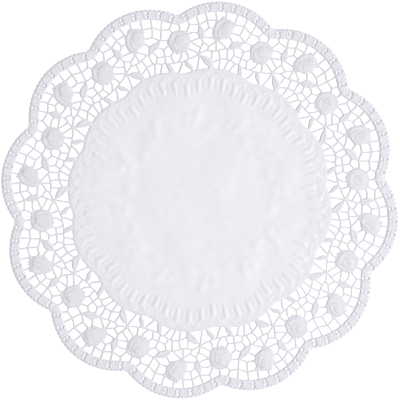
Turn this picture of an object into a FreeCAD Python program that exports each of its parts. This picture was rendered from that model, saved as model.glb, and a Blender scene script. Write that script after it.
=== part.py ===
"""Round die-cut paper doily, one sheet lying flat with its underside on Z = 0.

Millimetres, +Z up, origin at the middle of the underside.  One lobe points along +Y.
The lace is drawn once, in one sector, and repeated round the sheet.  A bearing is the
angle from the middle of the lobe, positive clockwise seen from above.  A share is the
way across the lace band, 0 on the edge of the plain disc and 1 on the rim.
"""
import FreeCAD, Part
import math
import os

os.makedirs("parts", exist_ok=True)

# ---- driving sizes (mm) -------------------------------------------------------------
DIAMETER = 360.0            # lobe tip to opposite lobe tip
SHEET_THICKNESS = 0.1       # paper
LOBES = 12                  # lobes round the sheet
LOBE_RADIUS = 59.7          # arc of one lobe
RIM_WIDTH = 9.1             # solid band along the edge
PICOTS_PER_LOBE = 23        # small scallops along one lobe, the one in the valley included
PICOT_DEPTH = 0.4           # height of a small scallop
PICOTS_PER_GROUP = 3        # small scallops to each pair of rim holes
RIM_HOLE_DIAMETER = 1.5
RIM_HOLE_SETBACK = 3.2      # outer row of rim holes, in from the lobe arc
RIM_HOLE_ROW_GAP = 3.6      # outer row to inner row
DISC_DIAMETER = 238.8       # plain middle, over opposite scallops
DISC_SCALLOP_RADIUS = 52.0
BAR_WIDTH = 1.44            # lace bars
OUTLINE_MARGIN = 0.3        # paper left outside the drawn line of a rose, leaf, rim or disc
CORNER_SETBACK = 0.9        # where the rounding of a hole corner begins
CROWN_ROSE_WIDTH = 20.6
CROWN_ROSE_LENGTH = 23.0
CROWN_ROSE_SHARE = 0.69
VALLEY_ROSE_WIDTH = 20.9
VALLEY_ROSE_LENGTH = 21.5
VALLEY_ROSE_SHARE = 0.66
VALLEY_ROSE_BEARING = -15.7
LEAF_WIDTH = 6.6

SECTOR = 360.0 / LOBES
LOBE_CENTRE = DIAMETER / 2 - LOBE_RADIUS
DISC_SCALLOP_CENTRE = DISC_DIAMETER / 2 - DISC_SCALLOP_RADIUS

# ---- the drawing of one sector --------------------------------------------------------
# Free knots of the lace, as (bearing in degrees, share of the band).
KNOTS = {
    # on the rim
    "T0": (0.0, 1.0), "T1": (3.5, 1.0), "T2": (6.5, 1.0), "T3": (9.7, 1.0),
    "T4": (12.6, 1.0), "T5": (15.0, 1.06),
    "S1": (-3.5, 1.0), "S2": (-6.4, 1.0), "S3": (-9.3, 1.0), "S4": (-12.1, 1.0),
    # between rim and roses
    "N1": (-5.8, 0.86), "N2": (-5.2, 0.72), "N3": (-5.5, 0.78), "N4": (-11.5, 0.91),
    "P1": (6.2, 0.85), "P2": (5.4, 0.66), "P3": (8.9, 0.80), "P4": (11.6, 0.86),
    "P5": (5.8, 0.74), "P6": (7.5, 0.82), "P7": (6.4, 0.63), "P8": (8.8, 0.61),
    "Q1": (-3.1, 0.93), "Q2": (3.2, 0.91), "Q3": (-10.7, 0.73), "Q4": (-10.1, 0.57),
    # left of the crown rose, down to the junction J0
    "J0": (-8.4, 0.28), "J1": (-8.3, 0.34), "J2": (-7.7, 0.39), "J3": (-7.0, 0.48),
    "J4": (-5.8, 0.43), "J5": (-4.7, 0.39), "J6": (-3.6, 0.42), "J7": (-10.2, 0.49),
    "J8": (-10.3, 0.36), "J9": (-13.0, 0.35),
    # under the crown rose
    "K1": (-6.5, 0.31), "K2": (-5.6, 0.32), "K3": (-5.1, 0.35), "K4": (-3.5, 0.30),
    "K5": (-1.9, 0.30), "K6": (-1.0, 0.32), "K7": (0.3, 0.34), "K8": (1.7, 0.37),
    "K9": (0.4, 0.42),
    # the row next to the disc
    "L1": (0.0, 0.17), "L2": (2.8, 0.19), "L3": (2.3, 0.30), "L4": (3.5, 0.19),
    "L5": (4.3, 0.19), "L6": (4.6, 0.24), "L7": (5.2, 0.29), "L8": (6.3, 0.16),
    "L9": (5.4, 0.08),
    # right of leaf B, down to the main stem
    "M1": (8.1, 0.30), "M2": (8.0, 0.24), "M3": (8.3, 0.43), "M4": (7.5, 0.45),
    "M5": (10.5, 0.32), "M6": (10.8, 0.25), "M7": (14.5, 0.36),
    # main stem, left to right
    "W1": (-15.3, 0.26), "W2": (-14.5, 0.27), "W3": (-13.4, 0.25), "W4": (-12.6, 0.26),
    "W5": (-11.1, 0.25), "W6": (10.1, 0.17), "W7": (11.2, 0.18), "W8": (12.9, 0.22),
    "X1": (-16.2, 0.13), "X2": (-8.7, 0.15),
    # leaf tips
    "A0": (-7.4, 0.53), "A9": (-8.4, 0.82), "B0": (2.3, 0.37), "B9": (7.9, 0.60),
    "C0": (-7.9, 0.24), "E0": (7.8, 0.18),
    # on the edge of the disc
    "D1": (0.0, 0.0), "D2": (2.2, 0.0), "D3": (4.5, 0.0), "D4": (8.7, 0.0),
    "D5": (10.6, 0.0), "D6": (-17.6, 0.0), "D7": (-14.4, 0.0), "D8": (-11.2, 0.0),
    "D9": (-9.4, 0.0), "D10": (-4.2, 0.0), "D11": (-2.4, 0.0),
}

# Outline of each rose from its top, anticlockwise, in halves of its own width and length.
CROWN_ROSE = [
    (-0.04, 0.85), (-0.30, 1.00), (-0.41, 0.82), (-0.54, 0.64), (-0.77, 0.64), (-0.84, 0.45),
    (-0.88, 0.24), (-0.95, -0.05), (-1.00, -0.37), (-0.93, -0.61), (-0.86, -0.77), (-0.71, -0.90),
    (-0.55, -1.00), (-0.33, -0.99), (-0.16, -0.78), (0.15, -0.71), (0.43, -0.63), (0.52, -0.48),
    (0.64, -0.30), (0.79, -0.21), (0.76, -0.04), (0.74, 0.12), (0.84, 0.31), (1.00, 0.50),
    (0.84, 0.64), (0.60, 0.64), (0.45, 0.78), (0.21, 0.83),
]
VALLEY_ROSE = [
    (0.19, 0.98), (-0.15, 1.00), (-0.50, 0.88), (-0.66, 0.72), (-0.78, 0.48), (-0.95, 0.31),
    (-1.02, 0.08), (-0.95, -0.14), (-0.84, -0.35), (-0.75, -0.59), (-0.60, -0.74), (-0.41, -0.81),
    (-0.28, -1.00), (-0.12, -0.88), (0.08, -0.88), (0.51, -0.86), (0.75, -0.62), (0.86, -0.30),
    (0.98, -0.04), (0.94, 0.33), (0.88, 0.60), (0.77, 0.79), (0.49, 0.93),
]

# Leaves: root knot, tip knot, then outline points as (way along, side in leaf widths).
# A positive side is to the right when looking from the root to the tip.
LEAVES = {
    "A": ("A0", "A9", [(0.13, 0.36), (0.30, 0.51), (0.48, 0.55), (0.75, 0.31),
                       (0.71, -0.26), (0.49, -0.38), (0.29, -0.37), (0.14, -0.28)]),
    "B": ("B0", "B9", [(0.18, 0.27), (0.28, 0.32), (0.43, 0.39), (0.63, 0.47), (0.83, 0.24),
                       (0.77, -0.31), (0.55, -0.55), (0.35, -0.60), (0.17, -0.36)]),
    "C": ("C0", "D10", [(0.30, 0.10), (0.59, 0.10), (0.84, -0.04),
                        (1.02, -0.65), (0.83, -0.79), (0.62, -0.94), (0.35, -0.68), (0.15, -0.42)]),
    "D": ("W2", "D8", [(0.34, 0.27), (0.62, 0.19), (0.78, -0.27), (0.55, -0.34), (0.29, -0.26)]),
    "E": ("E0", "D4", [(0.31, 0.06), (0.64, 0.07), (0.80, -0.58), (0.47, -0.50), (0.19, -0.33)]),
}

# Lines of the sector: runs of knots.  "R4" is point 4 of the crown rose, "V4" of the valley
# rose, "A.2" point 2 of leaf A; "+" and "-" name the next sector clockwise and the last.
OUTLINES = [
    "-T5 S4 S3 S2 S1 T0 T1 T2 T3 T4 T5",
    "-D5 D6 D7 D8 D9 D10 D11 D1 D2 D3 D4 D5",
    " ".join("R%d" % i for i in range(28)) + " R0",
    " ".join("V%d" % i for i in range(23)) + " V0",
    "A0 A.0 A.1 A.2 A.3 A9 A.4 A.5 A.6 A.7 A0",
    "B0 B.0 B.1 B.2 B.3 B.4 B9 B.5 B.6 B.7 B.8 B0",
    "C0 C.0 C.1 C.2 D10",
    "D11 C.3 C.4 C.5 C.6 C.7 C0",
    "W2 D.0 D.1 D8 D.2 D.3 D.4 W3",
    "E0 E.0 E.1 D4",
    "D5 E.2 E.3 E.4 E0",
]
BARS = [
    "S4 N4 A9", "N4 V21", "S3 A9 N1", "S2 N1 R4", "N1 N3 N2 R7", "N2 A.2",
    "S1 Q1 R4", "T0 R0", "T1 Q2 R24", "T2 P1 R23", "P1 P5 P2", "P1 P6 P3",
    "T3 P3 P4", "T4 P4 +V2", "P3 B9", "P2 R19", "P2 P7 B9", "B9 P8 +V5",
    "T5 +V0", "A.5 Q3 V20", "A.0 R10", "A.7 Q4 V18", "A0 J3 J2 J1 J0", "J3 J4 J5",
    "V18 J7 J2", "V16 J8 J0", "J0 K1 K2 K3 J5 J6 R12", "K2 K4 K5 K6 K7 K8 B0",
    "K4 C.5", "K5 R12", "R13 K9 K8", "K6 L1 C.4", "L1 D1", "L1 L2 L3 B0",
    "L2 L4 L5 L6 L7 B.1", "L4 D2", "L5 L8 E0", "L8 L9 D3", "L7 M1 M3 M4 B.3",
    "M1 M5 M6 W7", "M1 M2 E0", "M3 +V7", "M5 +V10",
    "E.4 W6 W7 W8 +W1 +W2 +W3 +W4 +W5 +J0", "W8 M7 +V14", "W4 J9 V15",
    "R17 B.7", "J0 X2 D9", "W1 X1 D6", "J0 C0",
]


# ---- placing the drawing ---------------------------------------------------------------
def reach(bearing, centre, radius):
    """Distance from the middle to a ring of arcs of this radius, at this bearing."""
    turn = math.radians((bearing + SECTOR / 2) % SECTOR - SECTOR / 2)
    return centre * math.cos(turn) + math.sqrt(radius ** 2 - (centre * math.sin(turn)) ** 2)


def polar(bearing, distance):
    turn = math.radians(bearing)
    return (distance * math.sin(turn), distance * math.cos(turn))


def place(bearing, share):
    """Point of the lace band at this bearing and share."""
    inner = reach(bearing, DISC_SCALLOP_CENTRE, DISC_SCALLOP_RADIUS)
    outer = reach(bearing, LOBE_CENTRE, LOBE_RADIUS - RIM_WIDTH)
    return polar(bearing, inner + share * (outer - inner))


def turned(point, bearing):
    """The point carried clockwise round the middle by this angle."""
    turn = math.radians(bearing)
    return (point[0] * math.cos(turn) + point[1] * math.sin(turn),
            point[1] * math.cos(turn) - point[0] * math.sin(turn))


def rose_points(letter, outline, width, length, bearing, share):
    centre = place(bearing, share)
    points = {}
    for number, (across, up) in enumerate(outline):
        offset = turned((across * width / 2, up * length / 2), bearing)
        points["%s%d" % (letter, number)] = (centre[0] + offset[0], centre[1] + offset[1])
    return points


def leaf_points(name, root, tip, outline):
    span = (tip[0] - root[0], tip[1] - root[1])
    length = math.hypot(span[0], span[1])
    points = {}
    for number, (along, side) in enumerate(outline):
        shift = side * LEAF_WIDTH / length
        points["%s.%d" % (name, number)] = (root[0] + along * span[0] + shift * span[1],
                                            root[1] + along * span[1] - shift * span[0])
    return points


def sector_points():
    """Every named point of the sector, in mm."""
    points = {name: place(bearing, share) for name, (bearing, share) in KNOTS.items()}
    points.update(rose_points("R", CROWN_ROSE, CROWN_ROSE_WIDTH, CROWN_ROSE_LENGTH,
                              0.0, CROWN_ROSE_SHARE))
    points.update(rose_points("V", VALLEY_ROSE, VALLEY_ROSE_WIDTH, VALLEY_ROSE_LENGTH,
                              VALLEY_ROSE_BEARING, VALLEY_ROSE_SHARE))
    for name, (root, tip, outline) in LEAVES.items():
        points.update(leaf_points(name, points[root], points[tip], outline))
    return points


# ---- the web of lines and the cells between them ----------------------------------------
def knot(word):
    """(sector, name) of one word of a run."""
    if word[0] == "+":
        return (1, word[1:])
    if word[0] == "-":
        return (-1, word[1:])
    return (0, word)


def web():
    """All lines round the sheet, both ways along, each with the paper kept beside it."""
    lines = {}
    for runs, margin in ((OUTLINES, OUTLINE_MARGIN), (BARS, BAR_WIDTH / 2)):
        for run in runs:
            knots = [knot(word) for word in run.split()]
            for start, end in zip(knots, knots[1:]):
                for sector in range(LOBES):
                    one = ((start[0] + sector) % LOBES, start[1])
                    two = ((end[0] + sector) % LOBES, end[1])
                    lines[(one, two)] = margin
                    lines[(two, one)] = margin
    return lines


def cells(lines, spot):
    """Closed loops of the web, each with its inside on the left."""
    heading = {}
    for start, end in lines:
        angle = math.atan2(spot[end][1] - spot[start][1], spot[end][0] - spot[start][0])
        heading.setdefault(start, []).append((angle, end))
    around = {start: [end for angle, end in sorted(ends)] for start, ends in heading.items()}
    used = set()
    loops = []
    for line in lines:
        loop = []
        start, end = line
        while (start, end) not in used:
            used.add((start, end))
            loop.append(start)
            ends = around[end]
            start, end = end, ends[ends.index(start) - 1]
        if loop:
            loops.append(loop)
    return loops


def signed_area(points):
    following = points[1:] + points[:1]
    return sum(a[0] * b[1] - b[0] * a[1] for a, b in zip(points, following)) / 2


def is_open(loop):
    """True for the cells that are cut out: neither a rose, a leaf, the disc nor the outside."""
    names = {name for sector, name in loop}
    solid = [{"R1", "R15"}, {"V1", "V11"}, {"A.0", "A.7"}, {"B.0", "B.8"}, {"C.1", "C.6"},
             {"D.0", "D.4"}, {"E.0", "E.4"}, {"D1", "D7"}, {"T0", "T4"}]
    return not any(pair <= names for pair in solid)


# ---- holes -----------------------------------------------------------------------------
def set_in(points, margins):
    """The loop moved inward, each side by its own margin."""
    count = len(points)
    corners = []
    for i in range(count):
        before, here, after = points[i - 1], points[i], points[(i + 1) % count]
        in_x, in_y = here[0] - before[0], here[1] - before[1]
        out_x, out_y = after[0] - here[0], after[1] - here[1]
        in_length = math.hypot(in_x, in_y)
        out_length = math.hypot(out_x, out_y)
        in_x, in_y = in_x / in_length, in_y / in_length
        out_x, out_y = out_x / out_length, out_y / out_length
        first, second = margins[i - 1], margins[i]
        cross = in_x * out_y - in_y * out_x
        if abs(cross) < 0.35 and in_x * out_x + in_y * out_y > 0:
            depth = (first + second) / 2
            mean_x, mean_y = -(in_y + out_y), in_x + out_x
            scale = depth / math.hypot(mean_x, mean_y)
            corners.append((here[0] + mean_x * scale, here[1] + mean_y * scale))
        else:
            corners.append((here[0] + (second * in_x - first * out_x) / -cross,
                            here[1] + (second * in_y - first * out_y) / -cross))
    return corners


def rounded(corners):
    """A smooth closed wire inside the polygon, straight along its sides."""
    poles = []
    count = len(corners)
    for i in range(count):
        start, end = corners[i], corners[(i + 1) % count]
        length = math.dist(start, end)
        setback = min(2 * CORNER_SETBACK / length, 0.5)
        poles.append(start)
        for way in (setback, 1 - setback):
            poles.append((start[0] + way * (end[0] - start[0]), start[1] + way * (end[1] - start[1])))
        if setback == 0.5:
            poles.pop()
    first, last = poles[0], poles[-1]
    seam = ((first[0] + last[0]) / 2, (first[1] + last[1]) / 2)
    vectors = [FreeCAD.Vector(x, y, 0) for x, y in [seam] + poles + [seam]]
    spans = len(vectors) - 2
    curve = Part.BSplineCurve()
    curve.buildFromPolesMultsKnots(vectors, [3] + [1] * (spans - 1) + [3],
                                   [float(i) for i in range(spans + 1)], False, 2)
    return Part.Wire([curve.toShape()])


def lace_holes():
    points = sector_points()
    lines = web()
    spot = {(sector, name): turned(point, sector * SECTOR)
            for name, point in points.items() for sector in range(LOBES)}
    holes = []
    for loop in cells(lines, spot):
        if not is_open(loop):
            continue
        outline = [spot[name] for name in loop]
        following = loop[1:] + loop[:1]
        margins = [lines[(start, end)] for start, end in zip(loop, following)]
        holes.append(rounded(set_in(outline, margins)[::-1]))
    return holes


def lobe_span():
    """Half the angle one lobe takes up about its own centre."""
    valley = polar(SECTOR / 2, reach(SECTOR / 2, LOBE_CENTRE, LOBE_RADIUS))
    return math.degrees(math.atan2(valley[0], valley[1] - LOBE_CENTRE))


def on_lobe(angle, radius, sector):
    """Point at this angle and radius about the centre of one lobe."""
    x, y = polar(angle, radius)
    x, y = turned((x, y + LOBE_CENTRE), sector * SECTOR)
    return FreeCAD.Vector(x, y, 0)


def rim_holes():
    pitch = 2 * lobe_span() / PICOTS_PER_LOBE
    groups = PICOTS_PER_LOBE // PICOTS_PER_GROUP + 1
    holes = []
    for sector in range(LOBES):
        for group in range(groups):
            angle = (group + 0.5 - groups / 2) * PICOTS_PER_GROUP * pitch
            for row in range(2):
                radius = LOBE_RADIUS - RIM_HOLE_SETBACK - row * RIM_HOLE_ROW_GAP
                middle = on_lobe(angle, radius, sector)
                circle = Part.Circle(middle, FreeCAD.Vector(0, 0, -1), RIM_HOLE_DIAMETER / 2)
                holes.append(Part.Wire([circle.toShape()]))
    return holes


# ---- sheet -----------------------------------------------------------------------------
def edge_wire():
    """The edge of the sheet: small scallops along the lobes, one in each valley."""
    pitch = 2 * lobe_span() / PICOTS_PER_LOBE
    picots = PICOTS_PER_LOBE - 1
    arcs = []
    for sector in range(0, -LOBES, -1):
        marks = [(picots / 2 - i) * pitch for i in range(picots + 1)]
        for start, end in zip(marks, marks[1:]):
            arcs.append(Part.Arc(on_lobe(start, LOBE_RADIUS - PICOT_DEPTH, sector),
                                 on_lobe((start + end) / 2, LOBE_RADIUS, sector),
                                 on_lobe(end, LOBE_RADIUS - PICOT_DEPTH, sector)).toShape())
        near = on_lobe(marks[-1], LOBE_RADIUS - PICOT_DEPTH, sector)
        far = on_lobe(marks[0], LOBE_RADIUS - PICOT_DEPTH, sector - 1)
        middle = (near + far) / 2
        crest = middle * (1 + PICOT_DEPTH / middle.Length)
        arcs.append(Part.Arc(near, crest, far).toShape())
    return Part.Wire(arcs)


def doily_sheet():
    face = Part.Face([edge_wire()] + lace_holes() + rim_holes())
    return face.extrude(FreeCAD.Vector(0, 0, SHEET_THICKNESS))


doily_sheet().exportStep("parts/doily_sheet.step")
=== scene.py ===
"""Looks of a round embossed paper doily lying on a white table, built round its cut shape."""
import logging
import math
from dataclasses import dataclass
from enum import Enum
from typing import Any, Dict, List, Sequence, Tuple, Union

import bmesh
import bpy
import numpy as np
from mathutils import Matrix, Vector, geometry, noise


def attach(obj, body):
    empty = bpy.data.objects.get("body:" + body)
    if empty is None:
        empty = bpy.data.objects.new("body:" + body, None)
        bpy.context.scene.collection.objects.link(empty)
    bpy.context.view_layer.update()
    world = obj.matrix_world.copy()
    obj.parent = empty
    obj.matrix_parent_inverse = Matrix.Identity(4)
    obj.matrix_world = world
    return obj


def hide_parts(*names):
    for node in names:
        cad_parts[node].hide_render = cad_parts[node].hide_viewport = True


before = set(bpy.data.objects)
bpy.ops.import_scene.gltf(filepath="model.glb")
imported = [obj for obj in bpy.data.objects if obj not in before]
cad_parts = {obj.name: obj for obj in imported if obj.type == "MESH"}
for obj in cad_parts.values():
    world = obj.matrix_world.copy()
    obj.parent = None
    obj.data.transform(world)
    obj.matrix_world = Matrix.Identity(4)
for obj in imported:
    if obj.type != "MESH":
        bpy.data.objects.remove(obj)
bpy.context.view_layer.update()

LOG = logging.getLogger("doily")
SHEET_NODE = "doily_sheet"
PIECE_NAME = "doily_paper"
PAINTED_SHADE = "painted_shade"          # the mesh attribute of painted shade that the paper's finish reads
MM = 0.001
LOBES = 12
SECTOR = 360.0 / LOBES
WHITE = (1.0, 1.0, 1.0, 1.0)

Points = np.ndarray
Colour = Tuple[float, float, float, float]
Span = Tuple[float, float]
Press = Tuple[np.ndarray, np.ndarray]


def polar(bearing: float, radius: float) -> Tuple[float, float]:
    """Point at a bearing, clockwise from +Y in degrees, and a distance from the middle."""
    turn = math.radians(bearing)
    return radius * math.sin(turn), radius * math.cos(turn)


def turned(points: Points, bearing: float) -> Points:
    """Points carried clockwise round the middle.

    Args:
        points: N by 2 array.
        bearing: angle in degrees.

    Returns:
        N by 2 array of the turned points.
    """
    turn = math.radians(bearing)
    x, y = points[:, 0], points[:, 1]
    return np.column_stack((x * math.cos(turn) + y * math.sin(turn),
                            y * math.cos(turn) - x * math.sin(turn)))


def around(points: Points) -> Points:
    """A sector's points together with their copies in the two sectors beside it."""
    return np.vstack([turned(points, SECTOR * step) for step in (-1, 0, 1)])


def fade(value: np.ndarray, low: float, high: float) -> np.ndarray:
    """Smooth step of value from 0 at low to 1 at high."""
    t = np.clip((value - low) / (high - low), 0.0, 1.0)
    return t * t * (3.0 - 2.0 * t)


def hump(offset: np.ndarray, half_width: Union[float, np.ndarray], power: float) -> np.ndarray:
    """A rounded ridge, 1 on its line and 0 from the half width out; power pinches its sides."""
    return np.clip(1.0 - (offset / half_width) ** 2, 0.0, 1.0) ** power


def bell(offset: np.ndarray, width: float) -> np.ndarray:
    """A soft ridge, 1 on its line and about a third at the width."""
    return np.exp(-(offset / width) ** 2)


def inside(points: Points, loop: Points) -> np.ndarray:
    """Which points lie inside a closed loop.

    Args:
        points: N by 2 array.
        loop: M by 2 array of corners in order.

    Returns:
        N booleans.
    """
    hits = np.zeros(len(points), dtype=bool)
    low, high = loop.min(0), loop.max(0)
    near = np.nonzero(np.all((points >= low) & (points <= high), axis=1))[0]
    if len(near) == 0:
        return hits
    x, y = points[near, 0][:, None], points[near, 1][:, None]
    start, end = loop, np.roll(loop, -1, axis=0)
    level = 1e-12            # stands in for the rise of a side that lies level
    rise = np.where(end[:, 1] == start[:, 1], level, end[:, 1] - start[:, 1])
    crossing = (start[:, 1] > y) != (end[:, 1] > y)
    left = x < (end[:, 0] - start[:, 0]) * (y - start[:, 1]) / rise + start[:, 0]
    hits[near] = (np.sum(crossing & left, axis=1) % 2) == 1
    return hits


def dense(points: Points, step: float, closed: bool) -> Points:
    """A run of points with more put in wherever two are further apart than step.

    Args:
        points: N by 2 array in order.
        step: largest distance left between neighbours.
        closed: whether the last point joins the first.

    Returns:
        The fuller run, the first point first.
    """
    ends = np.roll(points, -1, axis=0) if closed else points[1:]
    starts = points if closed else points[:-1]
    run: List[Points] = []
    for start, end in zip(starts, ends):
        count = max(1, math.ceil(float(np.linalg.norm(end - start)) / step))
        way = np.arange(count)[:, None] / count
        run.append(start + way * (end - start))
    if not closed:
        run.append(points[-1:])
    return np.vstack(run)


def simplified(loop: Points, slack: float) -> Points:
    """A closed loop with the corners that matter, within slack of the full one.

    Args:
        loop: N by 2 array of corners.
        slack: how far a dropped corner may lie from the kept outline.

    Returns:
        The kept corners in order.
    """
    slant = 0.37             # picks one furthest corner where several lie level
    first = int(np.argmax(loop[:, 0] + slant * loop[:, 1]))
    loop = np.roll(loop, -first, axis=0)
    far = int(np.argmax(np.linalg.norm(loop - loop[0], axis=1)))
    kept = {0, far}
    stack = [(0, far), (far, len(loop))]
    ring = np.vstack((loop, loop[:1]))
    while stack:
        a, b = stack.pop()
        if b - a < 2:
            continue
        chord = ring[b] - ring[a]
        length = max(float(np.linalg.norm(chord)), 1e-9)
        offset = ring[a + 1:b] - ring[a]
        gap = np.abs(chord[0] * offset[:, 1] - chord[1] * offset[:, 0]) / length
        worst = int(np.argmax(gap))
        if gap[worst] > slack:
            kept.add(a + 1 + worst)
            stack.append((a, a + 1 + worst))
            stack.append((a + 1 + worst, b))
    return loop[sorted(kept)]


def add_node(tree: bpy.types.NodeTree, kind: str, inputs: Dict[Union[str, int], Any],
             **settings: Any) -> bpy.types.Node:
    """Adds a node to a tree.

    Args:
        tree: the tree that gets the node.
        kind: the node's type.
        inputs: by name or place, each input's value or the output that feeds it.
        settings: the node's own settings.

    Returns:
        The node.
    """
    node = tree.nodes.new(kind)
    for name, value in settings.items():
        setattr(node, name, value)
    for key, value in inputs.items():
        if isinstance(value, bpy.types.NodeSocket):
            tree.links.new(value, node.inputs[key])
        else:
            node.inputs[key].default_value = value
    return node


class NearestGap:
    """Distance from any point to the nearest of a set of points, by square bins."""

    def __init__(self, points: Points, bin_size: float = 1.0) -> None:
        """Sorts the points into bins.

        Args:
            points: N by 2 array.
            bin_size: side of a bin.
        """
        self.points = points
        self.size = bin_size
        self.bins: Dict[Tuple[int, int], List[int]] = {}
        for i, cell in enumerate(np.floor(points / bin_size).astype(int)):
            self.bins.setdefault((int(cell[0]), int(cell[1])), []).append(i)

    def distance(self, where: Points, limit: float) -> np.ndarray:
        """Distances up to a limit.

        Args:
            where: N by 2 array.
            limit: distance beyond which the limit itself is given.

        Returns:
            N distances.
        """
        reach = math.ceil(limit / self.size)
        result = np.full(len(where), limit)
        cells = np.floor(where / self.size).astype(int)
        order = np.lexsort((cells[:, 1], cells[:, 0]))
        start = 0
        while start < len(order):
            cell = cells[order[start]]
            stop = start
            while stop < len(order) and np.array_equal(cells[order[stop]], cell):
                stop += 1
            near: List[int] = []
            for i in range(-reach, reach + 1):
                for j in range(-reach, reach + 1):
                    near += self.bins.get((int(cell[0]) + i, int(cell[1]) + j), [])
            if near:
                rows = order[start:stop]
                gaps = np.linalg.norm(where[rows][:, None] - self.points[near][None], axis=2)
                result[rows] = np.minimum(limit, gaps.min(1))
            start = stop
        return result


@dataclass(frozen=True)
class Scallops:
    """A scalloped edge, one arc to each lobe, in mm."""

    centre: float
    radius: float

    def reach(self, bearing: float, inset: float = 0.0) -> float:
        """How far the edge stands from the middle of the sheet.

        Args:
            bearing: where, clockwise from +Y in degrees.
            inset: how far inside the edge to measure.

        Returns:
            The distance in mm.
        """
        turn = math.radians((bearing + SECTOR / 2) % SECTOR - SECTOR / 2)
        across = self.centre * math.sin(turn)
        return self.centre * math.cos(turn) + math.sqrt((self.radius - inset) ** 2 - across ** 2)


OUTER_EDGE = Scallops(120.3, 59.7)
DISC_EDGE = Scallops(67.4, 52.0)


class RoseKind(Enum):
    """The two roses of the lace, by where they sit."""

    CROWN = "crown"
    VALLEY = "valley"


@dataclass(frozen=True)
class Petal:
    """One pressed petal: an oval in a rose's own frame, in mm, and how far it stands up."""

    x: float
    y: float
    half_width: float
    half_length: float
    level: float

    def outside(self, local: Points) -> np.ndarray:
        """How far points in the rose's frame lie outside the oval, in mm."""
        x = (local[:, 0] - self.x) / self.half_width
        y = (local[:, 1] - self.y) / self.half_length
        return (np.hypot(x, y) - 1.0) * self.half_width

    def oval(self, grow: float, step: float) -> Points:
        """Points along the oval.

        Args:
            grow: how far outside the oval they run.
            step: distance between them.

        Returns:
            N by 2 array in the rose's frame.
        """
        a, b = self.half_width + grow, self.half_length + grow
        turn = np.linspace(0, 2 * math.pi, max(6, int(2 * math.pi * a / step)), False)
        return np.column_stack((self.x + a * np.sin(turn), self.y + b * np.cos(turn)))


@dataclass(frozen=True)
class Rose:
    """A rose of the lace: its place, and its petals from the outermost to the heart."""

    kind: RoseKind
    bearing: float
    radius: float
    lean: float
    petals: Tuple[Petal, ...]
    cover: Span = (-0.45, 0.35)
    lip_height: float = 0.09
    lip_inset: float = 1.0
    lip_width: float = 0.7
    fold_offset: float = 0.1
    fold_width: float = 0.5
    line_offsets: Tuple[float, ...] = (-1.0, -0.45, 0.1, 0.45)
    line_step: float = 0.8

    def press(self, points: Points) -> Press:
        """How the stamp shapes the rose.

        Args:
            points: N by 2 array in mm.

        Returns:
            Height in mm and how much shade is painted on the fold lines, 0 to 1.
        """
        centre = np.array(polar(self.bearing, self.radius))
        local = turned(points - centre, -(self.bearing + self.lean))
        height = np.zeros(len(points))
        fold = np.zeros(len(points))
        for petal in self.petals:
            out = petal.outside(local)
            cover = 1.0 - fade(out, *self.cover)
            own = petal.level + self.lip_height * bell(out + self.lip_inset, self.lip_width)
            fold = fold * (1.0 - cover) + bell(out - self.fold_offset, self.fold_width)
            height = height * (1.0 - cover) + np.maximum(own, height) * cover
        return height, np.clip(fold, 0.0, 1.0)

    def lines(self) -> List[Points]:
        """Runs of points along the petals' edges and lips."""
        centre = np.array(polar(self.bearing, self.radius))
        return [turned(petal.oval(grow, self.line_step), self.bearing + self.lean) + centre
                for petal in self.petals for grow in self.line_offsets]


@dataclass(frozen=True)
class Leaf:
    """A leaf of the lace, from its root to its tip, in mm."""

    root: Tuple[float, float]
    tip: Tuple[float, float]
    half_width: float
    root_fade: Span = (0.0, 0.12)
    tip_fade: Span = (0.88, 1.02)
    side_fade: float = 0.8
    blade_height: float = 0.22
    edge_lift: float = 0.1
    rib_width: float = 0.45
    rib_depth: float = 0.9
    vein_height: float = 0.04
    vein_slant: float = 0.8
    vein_pitch: float = 2.6
    line_step: float = 0.9
    line_offset: float = 0.7

    def press(self, points: Points) -> Press:
        """How the stamp shapes the leaf.

        Args:
            points: N by 2 array in mm.

        Returns:
            Height in mm of its blade, and how much shade is painted on its midrib, 0 to 1.
        """
        root, tip = np.array(self.root), np.array(self.tip)
        span = tip - root
        length = float(np.linalg.norm(span))
        along = (points - root) @ span / length ** 2
        side = ((points - root) @ np.array((span[1], -span[0]))) / length
        off = np.abs(side)
        within = fade(along, *self.root_fade) * (1.0 - fade(along, *self.tip_fade))
        within = within * (1.0 - fade(off, self.half_width, self.half_width + self.side_fade))
        rib = bell(side, self.rib_width)
        vein = np.cos(2 * math.pi * (along * length - self.vein_slant * off) / self.vein_pitch)
        blade = self.blade_height + self.vein_height * vein
        blade = blade + self.edge_lift * off / self.half_width
        return within * blade * (1.0 - self.rib_depth * rib), within * rib

    def lines(self) -> List[Points]:
        """Runs of points along the midrib and both its sides."""
        root, tip = np.array(self.root), np.array(self.tip)
        axis = dense(np.array((root, tip)), self.line_step, closed=False)
        across = (tip - root)[::-1] * (1.0, -1.0) / np.linalg.norm(tip - root)
        return [axis, axis + self.line_offset * across, axis - self.line_offset * across]


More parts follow.
